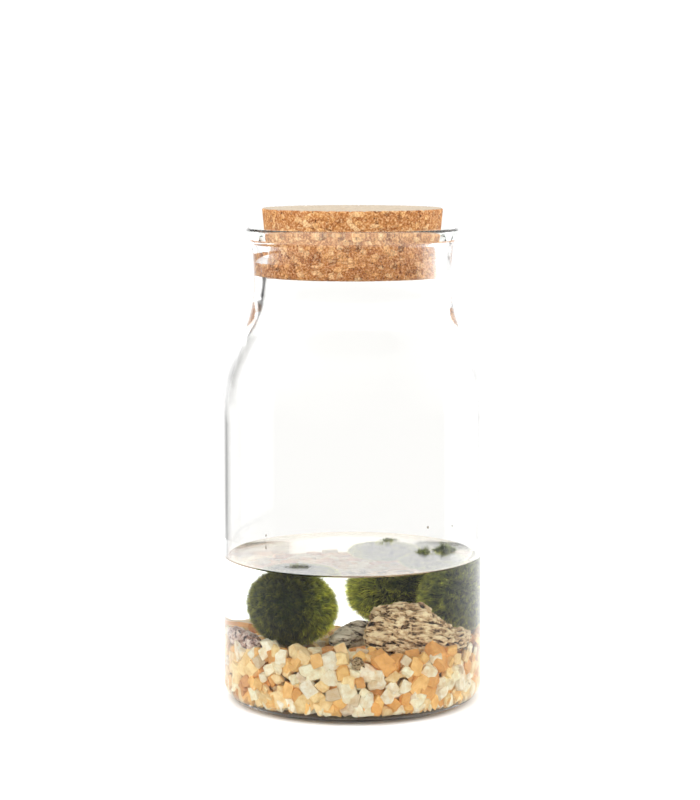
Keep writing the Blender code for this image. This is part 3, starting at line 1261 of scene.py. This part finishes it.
def ribbons(threads: Sequence[Thread]) -> bmesh.types.BMesh:
    """Makes a narrow ribbon in two pieces of each thread.

    Args:
        threads: The threads.

    Returns:
        All ribbons, with their colours in the layer Tint.
    """
    bm = bmesh.new()
    tint = bm.verts.layers.float_color.new("Tint")
    count = len(threads)
    feet = [bm.verts.new(thread.foot) for thread in threads]
    bmesh.ops.extrude_vert_indiv(bm, verts=feet)
    bm.verts.index_update()
    bm.verts.ensure_lookup_table()
    bmesh.ops.extrude_vert_indiv(bm, verts=bm.verts[count : 2 * count])
    bmesh.ops.extrude_edge_only(bm, edges=bm.edges[:])
    bm.verts.index_update()
    bm.verts.ensure_lookup_table()
    verts = bm.verts[:]
    partner: dict[int, int] = {}
    for vert in verts[3 * count :]:
        for edge in vert.link_edges:
            other = edge.other_vert(vert).index
            if other < 3 * count:
                partner[other] = vert.index
    for number, thread in enumerate(threads):
        points = (thread.foot, thread.middle, thread.tip)
        middle_colour = thread.shaded_root_colour.lerp(thread.tip_colour, MIDDLE_TONE)
        colours = (thread.shaded_root_colour, middle_colour, thread.tip_colour)
        for stage, (point, share, colour) in enumerate(zip(points, RIBBON_WIDTHS, colours)):
            one = verts[number + stage * count]
            two = verts[partner[one.index]]
            one.co = point + 0.5 * share * thread.side
            two.co = point - 0.5 * share * thread.side
            one[tint] = two[tint] = (*colour, 1.0)
    return bm


@dataclass
class MossBall:
    """A ball of moss: a felted core and the filaments that stand on it."""

    node: str
    seed: int
    finish_felt: bpy.types.Material
    finish_filament: bpy.types.Material
    pile: float = 2.3 * MM
    width: float = 0.14 * MM
    count: int = 48000
    core_depth: float = 0.9
    lump_size: float = 5.0 * MM
    small_lump_size: float = 2.2 * MM
    small_lump_share: float = 0.5
    lump_height: float = 0.35 * MM
    clump_size: float = 3.4 * MM
    clump_pull: Point = (0.65, 0.5)
    wander: float = 0.26
    tip_wander: float = 0.6
    droop: Point = (-0.12, -0.18)
    shortest: float = 0.50
    growth: float = 0.85
    long_from: float = 0.94
    long_reach: Point = (1.15, 1.55)
    long_light: float = 1.5
    # Painted shade: the threads are far darker at their roots, deep in the pile.
    shaded_root_colour: Colour = (0.018, 0.022, 0.004)
    tip_colour: Colour = (0.075, 0.086, 0.016)
    bright_tip: Colour = (0.27, 0.29, 0.075)
    bright_share: float = 0.8
    root_light: Point = (0.6, 1.4)
    tip_light: Point = (0.6, 1.5)
    # Painted light: light scales all of the ball's colours, so that the balls are lit and shaded copies of
    # one moss.
    light: float = 1.0
    # Painted haze: a pale veil added to the threads' colours, for the light the water scatters in front of
    # the ball.
    painted_haze: float = 0.0
    painted_haze_colour: Colour = (0.85, 1.05, 0.90)
    # Painted light on the sides: extra brightness for threads that face left and right.
    sides: Point = (0.0, 0.0)
    left_light_fade: Point = (0.3, 0.9)
    right_light_fade: Point = (0.1, 0.8)

    def core(self) -> bmesh.types.BMesh:
        """The form of the solid, finer, lumpier and smaller by the filaments' length."""
        bm = merged_copy(self.node)
        for _ in range(3):
            bmesh.ops.subdivide_edges(bm, edges=bm.edges, cuts=1, use_grid_fill=True)
            soften(bm)
        bmesh.ops.triangulate(bm, faces=bm.faces)
        bm.normal_update()
        moves = []
        for vert in bm.verts:
            lump = noise.noise(vert.co / self.lump_size)
            lump += self.small_lump_share * noise.noise(vert.co / self.small_lump_size)
            moves.append(vert.co + vert.normal * (self.lump_height * lump - self.core_depth * self.pile))
        for vert, place in zip(bm.verts, moves):
            vert.co = place
        bm.normal_update()
        return bm

    def roots(self, core: bmesh.types.BMesh, rng: random.Random) -> list[tuple[Vector, Vector]]:
        """Strews the filaments' feet evenly over the core.

        Args:
            core: The felted core.
            rng: Source of the random draws.

        Returns:
            Places and outward directions.
        """
        faces = list(core.faces)
        areas = [face.calc_area() for face in faces]
        picks = rng.choices(faces, weights=areas, k=self.count)
        found = []
        for face in picks:
            one, two, three = face.verts
            a, b = rng.random(), rng.random()
            if a + b > 1.0:
                a, b = 1.0 - a, 1.0 - b
            c = 1.0 - a - b
            place = one.co * c + two.co * a + three.co * b
            normal = (one.normal * c + two.normal * a + three.normal * b).normalized()
            found.append((place, normal))
        return found

    def filaments(self, roots: list[tuple[Vector, Vector]], rng: random.Random) -> bmesh.types.BMesh:
        """Grows the filaments, with painted shade at their roots, painted light on the ball's sides and a
        painted haze; the long ones are brighter at their tips.

        Args:
            roots: Places and outward directions of their feet.
            rng: Source of the random draws.

        Returns:
            All ribbons of the ball.
        """
        threads = []
        droop, tip_droop = (Vector((0.0, 0.0, fall)) for fall in self.droop)
        pull, tip_pull = self.clump_pull
        bright = Vector(self.bright_tip)
        # The painted haze that is added to every thread's colour.
        painted_haze_light = Vector(self.painted_haze_colour) * self.painted_haze
        for place, normal in roots:
            clump = noise.noise_vector(place / self.clump_size)
            drawn = Vector([rng.gauss(0.0, self.wander) for _ in range(3)])
            way = (normal + pull * clump + drawn + droop).normalized()
            tip_way = (way + tip_pull * clump + tip_droop + self.tip_wander * drawn).normalized()
            reach = rng.random() ** 2.0
            length = self.pile * (self.shortest + self.growth * reach)
            side = way.cross(Vector([rng.gauss(0, 1) for _ in range(3)])).normalized() * self.width
            tip_colour = Vector(self.tip_colour).lerp(bright, self.bright_share * reach)
            tip_colour = tip_colour * rng.uniform(*self.tip_light)
            if rng.random() > self.long_from:
                length = self.pile * rng.uniform(*self.long_reach)
                tip_colour = bright * self.long_light
            middle = place + way * 0.5 * length
            tip = middle + tip_way * 0.5 * length
            shaded_root_colour = Vector(self.shaded_root_colour) * rng.uniform(*self.root_light)
            # Painted light: threads that face left or right are brighter, by the ball's sides.
            light = self.light + self.sides[0] * smooth_step(-normal.x, *self.left_light_fade)
            light += self.sides[1] * smooth_step(normal.x, *self.right_light_fade)
            shaded_root_colour, tip_colour = (light * shade + painted_haze_light for shade in (shaded_root_colour, tip_colour))
            threads.append(Thread(place, middle, tip, side, shaded_root_colour, tip_colour))
        return ribbons(threads)

    def build(self) -> list[bpy.types.Object]:
        """Builds and dresses the ball."""
        rng = random.Random(self.seed)
        core = self.core()
        roots = self.roots(core, rng)
        hairs = self.filaments(roots, rng)
        felt = add_piece(self.node + "_felt", core, self.finish_felt)
        pile = add_piece(self.node + "_filaments", hairs, self.finish_filament)
        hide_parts(self.node)
        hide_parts(self.node)
        return [felt, pile]


@dataclass
class MossTuft:
    """A loose tuft where the top of a ball breaks the water's surface."""

    node: str
    name: str
    finish: bpy.types.Material
    centre: Point
    spread: Point
    height: float
    count: int
    shade: Colour
    low: float = 0.0648
    level: float = 0.066
    width: float = 0.16 * MM
    crowding: float = 0.6
    ragged_size: float = 1.6 * MM
    ragged: Point = (0.55, 0.9)
    lowest: float = 0.05
    heights: Point = (0.5, 1.2)
    lean: float = 0.9
    curl: float = 0.8
    middle_share: float = 0.65
    light: Point = (0.4, 1.4)
    bright_from: float = 0.85
    bright: float = 2.2
    # Painted shade: the threads' roots take this share of their colour.
    root_shade: float = 0.4

    def build(self) -> bpy.types.Object:
        """Strews curled threads over an ellipse, tallest in its middle."""
        rng = random.Random(round(self.centre[0] / MM * 100))
        threads = []
        for _ in range(self.count):
            turn, out = rng.uniform(0, math.tau), rng.random() ** self.crowding
            place = Vector((
                self.centre[0] + self.spread[0] * out * math.cos(turn),
                self.centre[1] + self.spread[1] * out * math.sin(turn), 0.0,
            ))
            ragged = max(self.ragged[0] + self.ragged[1] * noise.noise(place / self.ragged_size), self.lowest)
            top = self.level + self.height * (1.0 - out**2) * ragged * rng.uniform(*self.heights)
            foot = place + Vector((0.0, 0.0, self.low))
            lean = Vector((rng.gauss(0.0, self.lean), rng.gauss(0.0, self.lean), 0.0)) * MM
            bend_height = (1.0 - self.middle_share) * self.low + self.middle_share * top
            middle = place + lean + Vector((0.0, 0.0, bend_height))
            curl = Vector((rng.gauss(0.0, self.curl), rng.gauss(0.0, self.curl), 0.0)) * MM
            side = Vector([rng.gauss(0, 1) for _ in range(3)]).normalized() * self.width
            tip = place + lean + curl + Vector((0.0, 0.0, top))
            colour = Vector(self.shade) * rng.uniform(*self.light)
            colour = colour * (self.bright if rng.random() > self.bright_from else 1.0)
            threads.append(Thread(foot, middle, tip, side, self.root_shade * colour, colour))
        tuft = add_piece(self.name, ribbons(threads), self.finish)
        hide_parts(self.node)
        return tuft


@dataclass
class CraggyRock:
    """A rock with ridges and crevices along its layers."""

    node: str
    finish: CraggyStone
    long: float
    thick: float
    dip: float
    bow: float
    depth: float
    warp: float
    pattern: float
    cuts: tuple[int, ...] = (3, 3)
    middle_level: float = 0.52
    rest_level: float = 0.60
    scales: Triple = (1.0, 2.1, 4.3)
    weights: Triple = (0.66, 0.46, 0.30)

    def relief(self, place: Vector) -> float:
        """Height of the surface from 0 in the crevices to 1 on the ridges.

        Args:
            place: A point on the rock.

        Returns:
            The height.
        """
        lean = math.radians(self.dip)
        bow = noise.noise_vector(place / self.warp + Vector((self.pattern, 0, 0)))
        across = place.x * math.sin(lean) + place.z * math.cos(lean) + self.bow * bow.z
        along = place.x * math.cos(lean) - place.z * math.sin(lean)
        spot = Vector((along / self.long + bow.x, place.y / self.long + bow.y, across / self.thick))
        shifts = ((0, self.pattern, 0), (0, 0, self.pattern), (self.pattern, 0, 0))
        level = self.middle_level
        for scale, weight, shift in zip(self.scales, self.weights, shifts):
            level += weight * noise.noise(scale * spot + Vector(shift))
        return min(max(level, 0.0), 1.0)

    def build(self) -> bpy.types.Object:
        """Builds and dresses the rock."""
        bm = merged_copy(self.node)
        for cuts in self.cuts:
            bmesh.ops.subdivide_edges(bm, edges=bm.edges, cuts=cuts, use_grid_fill=True)
            bmesh.ops.triangulate(bm, faces=bm.faces)
            for _ in range(2):
                soften(bm)
        bm.normal_update()
        layer = bm.verts.layers.float.new("Relief")
        moves = []
        for vert in bm.verts:
            level = self.relief(vert.co)
            vert[layer] = level
            moves.append(vert.co + vert.normal * self.depth * (level - self.rest_level))
        for vert, place in zip(bm.verts, moves):
            vert.co = place
        rock = add_piece(self.node + "_craggy", bm, self.finish.make())
        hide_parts(self.node)
        return rock


@dataclass(frozen=True)
class Wing:
    """A darker patch of the room on one side of the bright wall behind the jar."""

    side: float
    angles: Spread
    heights: Spread
    depth: float

    def shade(self, board: NodeBoard, azimuth: Socket, height: Socket) -> Socket:
        """How much darker the room is there.

        Args:
            board: The world's nodes.
            azimuth: Angle from the middle of the wall behind, in radians.
            height: Upward part of the direction looked in.

        Returns:
            The value socket, from 0 to the wing's depth.
        """
        angle = board.times(azimuth, self.side)
        start, full, wane, end = (math.radians(bound) for bound in self.angles)
        band = board.minus(board.rise(angle, start, full), board.rise(angle, wane, end))
        low, above, below, high = self.heights
        storey = board.minus(board.rise(height, low, above), board.rise(height, below, high))
        return board.times(board.times(band, storey), self.depth)


@dataclass
class Studio:
    """Plain pale floor, soft light from all round and the camera of the photograph."""

    lens: float = 102.375
    sensor: float = 36.0
    camera_place: Triple = (-0.00113, -1.041, 0.2616)
    pitch: float = 6.734
    floor_radius: float = 0.43
    floor_colour: Colour = (0.88, 0.88, 0.88)
    horizon: float = 1.06
    glow: float = 0.98
    glow_band: Point = (0.0, 0.14)
    overhead: float = 1.7
    overhead_band: Point = (0.25, 0.95)
    key: float = 2.0
    key_band: Point = (0.55, 0.98)
    key_way: Triple = (-0.30, -0.60, 0.74)
    front_shade: float = 0.46
    front_band: Point = (0.2, 0.9)
    front_height_band: Point = (0.0, 0.2)
    panel_place: Triple = (0.40, 0.15, 0.12)
    panel_aim: Triple = (0.0, 0.0, 0.08)
    panel_size: Point = (0.42, 0.24)
    panel_level: float = 2.2
    wings: tuple[Wing, ...] = (
        Wing(-1.0, (18.0, 28.0, 46.0, 58.0), (0.12, 0.19, 0.38, 0.46), 0.92),
        Wing(-1.0, (32.0, 42.0, 46.0, 58.0), (0.0, 0.05, 0.12, 0.20), 0.88),
        Wing(-1.0, (20.0, 28.0, 36.0, 46.0), (-0.20, -0.16, -0.15, -0.05), 0.62),
        Wing(-1.0, (20.0, 28.0, 36.0, 46.0), (-0.15, -0.05, 0.08, 0.16), 0.36),
        Wing(1.0, (20.0, 28.0, 36.0, 46.0), (-0.15, -0.05, 0.08, 0.16), 0.16),
        Wing(1.0, (20.0, 30.0, 46.0, 58.0), (0.10, 0.14, 0.26, 0.30), 0.30),
    )

    def camera(self) -> None:
        """Sets up the camera."""
        data = bpy.data.cameras.new("camera")
        data.sensor_fit = "VERTICAL"
        data.sensor_height = self.sensor
        data.lens = self.lens
        data.clip_start = 0.01
        data.clip_end = 50.0
        camera = bpy.data.objects.new("camera", data)
        camera.location = self.camera_place
        camera.rotation_euler = (math.radians(90.0 - self.pitch), 0.0, 0.0)
        bpy.context.scene.collection.objects.link(camera)
        bpy.context.scene.camera = camera

    def floor(self) -> None:
        """Lays the floor."""
        bm = bmesh.new()
        bmesh.ops.create_circle(bm, cap_ends=True, radius=self.floor_radius, segments=96)
        mesh = bpy.data.meshes.new("floor")
        bm.to_mesh(mesh)
        bm.free()
        sheet = Sheet("pale_floor")
        sheet.dress(Base_Color=self.floor_colour, Roughness=0.9, Specular_IOR_Level=0.1)
        mesh.materials.append(sheet.material)
        floor = bpy.data.objects.new("floor", mesh)
        bpy.context.scene.collection.objects.link(floor)

    def light(self) -> None:
        """Soft light from the whole room, darker in front and in the wings."""
        world = bpy.data.worlds.new("studio")
        board = NodeBoard(world)
        way = board.node("ShaderNodeTexCoord").outputs["Generated"]
        split = board.node("ShaderNodeSeparateXYZ")
        board.join(way, split.inputs["Vector"])
        azimuth = board.calculate("ARCTAN2", split.outputs["X"], split.outputs["Y"])
        height = split.outputs["Z"]
        level = board.plus(self.horizon, board.rise(height, *self.glow_band, self.glow))
        above = self.overhead - self.horizon - self.glow
        level = board.plus(level, board.rise(height, *self.overhead_band, above))
        toward = board.node("ShaderNodeVectorMath", operation="DOT_PRODUCT")
        board.join(way, toward.inputs[0])
        toward.inputs[1].default_value = Vector(self.key_way).normalized()
        level = board.plus(level, board.rise(toward.outputs["Value"], *self.key_band, self.key))
        front = board.times(split.outputs["Y"], -1.0)
        shade = board.rise(front, *self.front_band, self.front_shade)
        shade = board.times(shade, board.rise(height, *self.front_height_band))
        for wing in self.wings:
            shade = board.plus(shade, wing.shade(board, azimuth, height))
        level = board.times(level, board.minus(1.0, shade))
        back = board.tree.nodes["Background"]
        board.join(level, back.inputs["Strength"])
        back.inputs["Color"].default_value = (1.0, 1.0, 1.0, 1.0)
        bpy.context.scene.world = world

    def side_panel(self) -> None:
        """Hangs a soft light on the right, outside the picture."""
        data = bpy.data.lights.new("side_panel", "AREA")
        data.shape = "RECTANGLE"
        data.size, data.size_y = self.panel_size
        data.energy = self.panel_level * math.pi * data.size * data.size_y
        panel = bpy.data.objects.new("side_panel", data)
        panel.location = self.panel_place
        back = Vector(self.panel_place) - Vector(self.panel_aim)
        panel.rotation_euler = back.to_track_quat("Z", "Y").to_euler()
        bpy.context.scene.collection.objects.link(panel)

    def build(self) -> None:
        """Sets the stage and how light is followed through glass and water."""
        self.camera()
        self.floor()
        self.light()
        self.side_panel()
        scene = bpy.context.scene
        scene.view_settings.view_transform = "Standard"
        scene.view_settings.look = "None"
        scene.cycles.max_bounces = 40
        scene.cycles.transmission_bounces = 28
        scene.cycles.diffuse_bounces = 7
        scene.cycles.glossy_bounces = 28
        scene.cycles.transparent_max_bounces = 8


def main() -> None:
    """Builds the jar and all that is in it."""
    logging.basicConfig(level=logging.INFO, format="%(message)s")
    noise.seed_set(NOISE_SEED)
    felt, filament = MossFelt().make(), MossFilament().make()
    tan = CraggyStone(
        StoneKind.TAN, crevice_and_shade=(0.030, 0.017, 0.010), hollow=(0.20, 0.115, 0.06), face=(0.66, 0.45, 0.24),
        ridge_and_highlight=(0.93, 0.78, 0.50), stain=(0.54, 0.33, 0.16),
    )
    grey = CraggyStone(
        StoneKind.GREY, crevice_and_shade=(0.026, 0.020, 0.013), hollow=(0.26, 0.21, 0.15), face=(0.70, 0.61, 0.47),
        ridge_and_highlight=(0.95, 0.88, 0.74), stain=(0.52, 0.43, 0.31),
    )
    purple = CraggyStone(
        StoneKind.PURPLE, crevice_and_shade=(0.055, 0.028, 0.022), hollow=(0.24, 0.14, 0.115), face=(0.52, 0.36, 0.31),
        ridge_and_highlight=(0.80, 0.68, 0.60), stain=(0.44, 0.22, 0.13),
    )
    makers: list[tuple[str, Callable[[], object]]] = [
        ("jar", GlassJar().build),
        ("cork", CorkStopper().build),
        ("water", JarWater().build),
        ("gravel", GravelBed().build),
        # Each ball's light and sides are painted light and shade.
        ("left ball", MossBall("moss_ball_left", 3, felt, filament, light=0.42, sides=(0.34, 1.15)).build),
        ("middle ball", MossBall(
            "moss_ball_middle", 8, felt, filament, light=0.95, painted_haze=0.022, sides=(0.5, 0.0),
        ).build),
        ("right ball", MossBall("moss_ball_right", 14, felt, filament, light=0.95, painted_haze=0.040).build),
        ("tufts on the right", MossTuft(
            "moss_ball_right", "tuft_right", filament, (0.0439, 0.0165), (0.0060, 0.0050), 4.2 * MM, 1500,
            (0.085, 0.105, 0.050),
        ).build),
        ("tuft beside them", MossTuft(
            "moss_ball_right", "tuft_inner", filament, (0.0333, 0.0120), (0.0028, 0.0036), 3.4 * MM, 520,
            (0.085, 0.105, 0.050),
        ).build),
        ("tuft behind", MossTuft(
            "moss_ball_middle", "tuft_back", filament, (0.0180, 0.0440), (0.0044, 0.0040), 1.8 * MM, 360,
            (0.12, 0.14, 0.08),
        ).build),
        ("tuft in front", MossTuft(
            "moss_ball_left", "tuft_front", filament, (-0.0243, -0.0268), (0.0072, 0.0060), 0.7 * MM, 760,
            (0.045, 0.048, 0.034),
        ).build),
        ("large rock", CraggyRock(
            "rock_large", tan, long=4.4 * MM, thick=1.35 * MM, dip=12, bow=0.9 * MM, depth=1.5 * MM,
            warp=12.0 * MM, pattern=4.0,
        ).build),
        ("middle rock", CraggyRock(
            "rock_middle", grey, long=8.0 * MM, thick=1.7 * MM, dip=14, bow=1.6 * MM, depth=1.0 * MM,
            warp=8.0 * MM, pattern=9.0,
        ).build),
        ("left rock", CraggyRock(
            "rock_left", purple, long=3.6 * MM, thick=2.8 * MM, dip=0, bow=1.5 * MM, depth=1.2 * MM,
            warp=5.0 * MM, pattern=15.0,
        ).build),
        ("studio", Studio().build),
    ]
    for label, make in makers:
        made = make()
        logging.info("built %s: %s", label, made)


if __name__ == "__main__":
    main()
